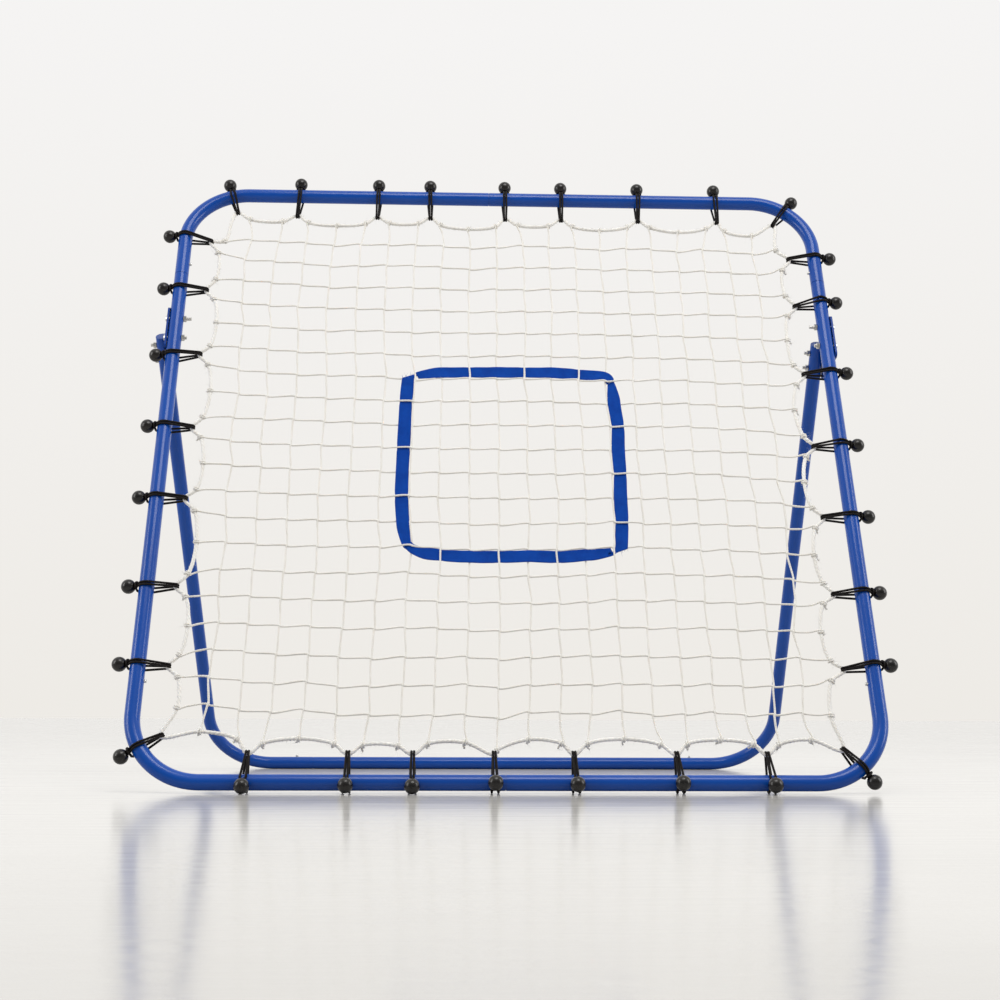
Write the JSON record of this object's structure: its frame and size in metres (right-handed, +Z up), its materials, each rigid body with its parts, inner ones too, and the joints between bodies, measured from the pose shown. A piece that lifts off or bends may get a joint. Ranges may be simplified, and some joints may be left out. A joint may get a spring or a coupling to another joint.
{
  "type": "pitch back rebounder",
  "caption": "Leaning square tube frame with a sprung net and woven target square, held by ball bungee cords on a folding rear stand.",
  "frame": {"origin": "on the floor under the middle of the front ground bar's axis", "axes": "+Z up, +Y from the front ground bar towards the rear stand, +X to the right seen from the front"},
  "size_m": [1.2706, 1.0393, 1.1308],
  "materials": {
    "blue_tube": "gloss powder coat",
    "bracket_paint": "gloss powder coat",
    "zinc_fastener": "bright zinc plate",
    "snap_button_steel": "bright plate",
    "ball_plastic": "moulded gloss",
    "elastic_cord": "braided sleeve over rubber",
    "edge_rope": "braided, slightly frayed",
    "net_cord": "knotless white mesh",
    "target_webbing": "woven webbing",
    "cap_plastic": "moulded in the tube colour"
  },
  "bodies": {
    "front_frame": {"top_left_corner_tube": "blue_tube", "top_right_corner_tube": "blue_tube", "bottom_left_corner_tube": "blue_tube", "bottom_right_corner_tube": "blue_tube", "left_side_tube": "blue_tube", "right_side_tube": "blue_tube", "left_bracket_plate": "bracket_paint", "right_bracket_plate": "bracket_paint", "frame_bolts": "zinc_fastener", "frame_nuts": "zinc_fastener", "top_bungee_cords": "elastic_cord", "bottom_bungee_cords": "elastic_cord", "left_bungee_cords": "elastic_cord", "right_bungee_cords": "elastic_cord", "corner_bungee_cords": "elastic_cord", "top_bungee_balls": "ball_plastic", "bottom_bungee_balls": "ball_plastic", "left_bungee_balls": "ball_plastic", "right_bungee_balls": "ball_plastic", "corner_bungee_balls": "ball_plastic", "edge_rope": "edge_rope", "net_panel": "net_cord", "top_target_band": "target_webbing", "bottom_target_band": "target_webbing", "left_target_band": "target_webbing", "right_target_band": "target_webbing"},
    "rear_stand": {"rear_left_leg_tube": "blue_tube", "rear_right_leg_tube": "blue_tube", "rear_ground_tube": "blue_tube", "left_leg_cap": "cap_plastic", "right_leg_cap": "cap_plastic", "pivot_bolts": "zinc_fastener", "lock_bolts": "zinc_fastener", "leg_nuts": "zinc_fastener"},
    "top_left_button_pin": {"top_left_button": "snap_button_steel"},
    "top_right_button_pin": {"top_right_button": "snap_button_steel"},
    "bottom_left_button_pin": {"bottom_left_button": "snap_button_steel"},
    "bottom_right_button_pin": {"bottom_right_button": "snap_button_steel"},
    "rear_left_button_pin": {"rear_left_button": "snap_button_steel"},
    "rear_right_button_pin": {"rear_right_button": "snap_button_steel"}
  },
  "joints": [
    {"name": "stand_fold", "type": "hinge", "parent": "front_frame", "child": "rear_stand", "pos_m": [0, 0.40984, 0.78652], "axis": [-1, 0, 0], "range_deg": [0, 60]},
    {"name": "top_left_button_press", "type": "slide", "parent": "front_frame", "child": "top_left_button_pin", "axis": [-1, 0, 0], "range_m": [0, 0.004], "stiffness_N_per_m": 1200, "springref_m": -0.002},
    {"name": "top_right_button_press", "type": "slide", "parent": "front_frame", "child": "top_right_button_pin", "axis": [1, 0, 0], "range_m": [0, 0.004], "stiffness_N_per_m": 1200, "springref_m": -0.002},
    {"name": "bottom_left_button_press", "type": "slide", "parent": "front_frame", "child": "bottom_left_button_pin", "axis": [-1, 0, 0], "range_m": [0, 0.004], "stiffness_N_per_m": 1200, "springref_m": -0.002},
    {"name": "bottom_right_button_press", "type": "slide", "parent": "front_frame", "child": "bottom_right_button_pin", "axis": [1, 0, 0], "range_m": [0, 0.004], "stiffness_N_per_m": 1200, "springref_m": -0.002},
    {"name": "rear_left_button_press", "type": "slide", "parent": "rear_stand", "child": "rear_left_button_pin", "axis": [0, 0, -1], "range_m": [0, 0.004], "stiffness_N_per_m": 1200, "springref_m": -0.002},
    {"name": "rear_right_button_press", "type": "slide", "parent": "rear_stand", "child": "rear_right_button_pin", "axis": [0, 0, -1], "range_m": [0, 0.004], "stiffness_N_per_m": 1200, "springref_m": -0.002}
  ]
}
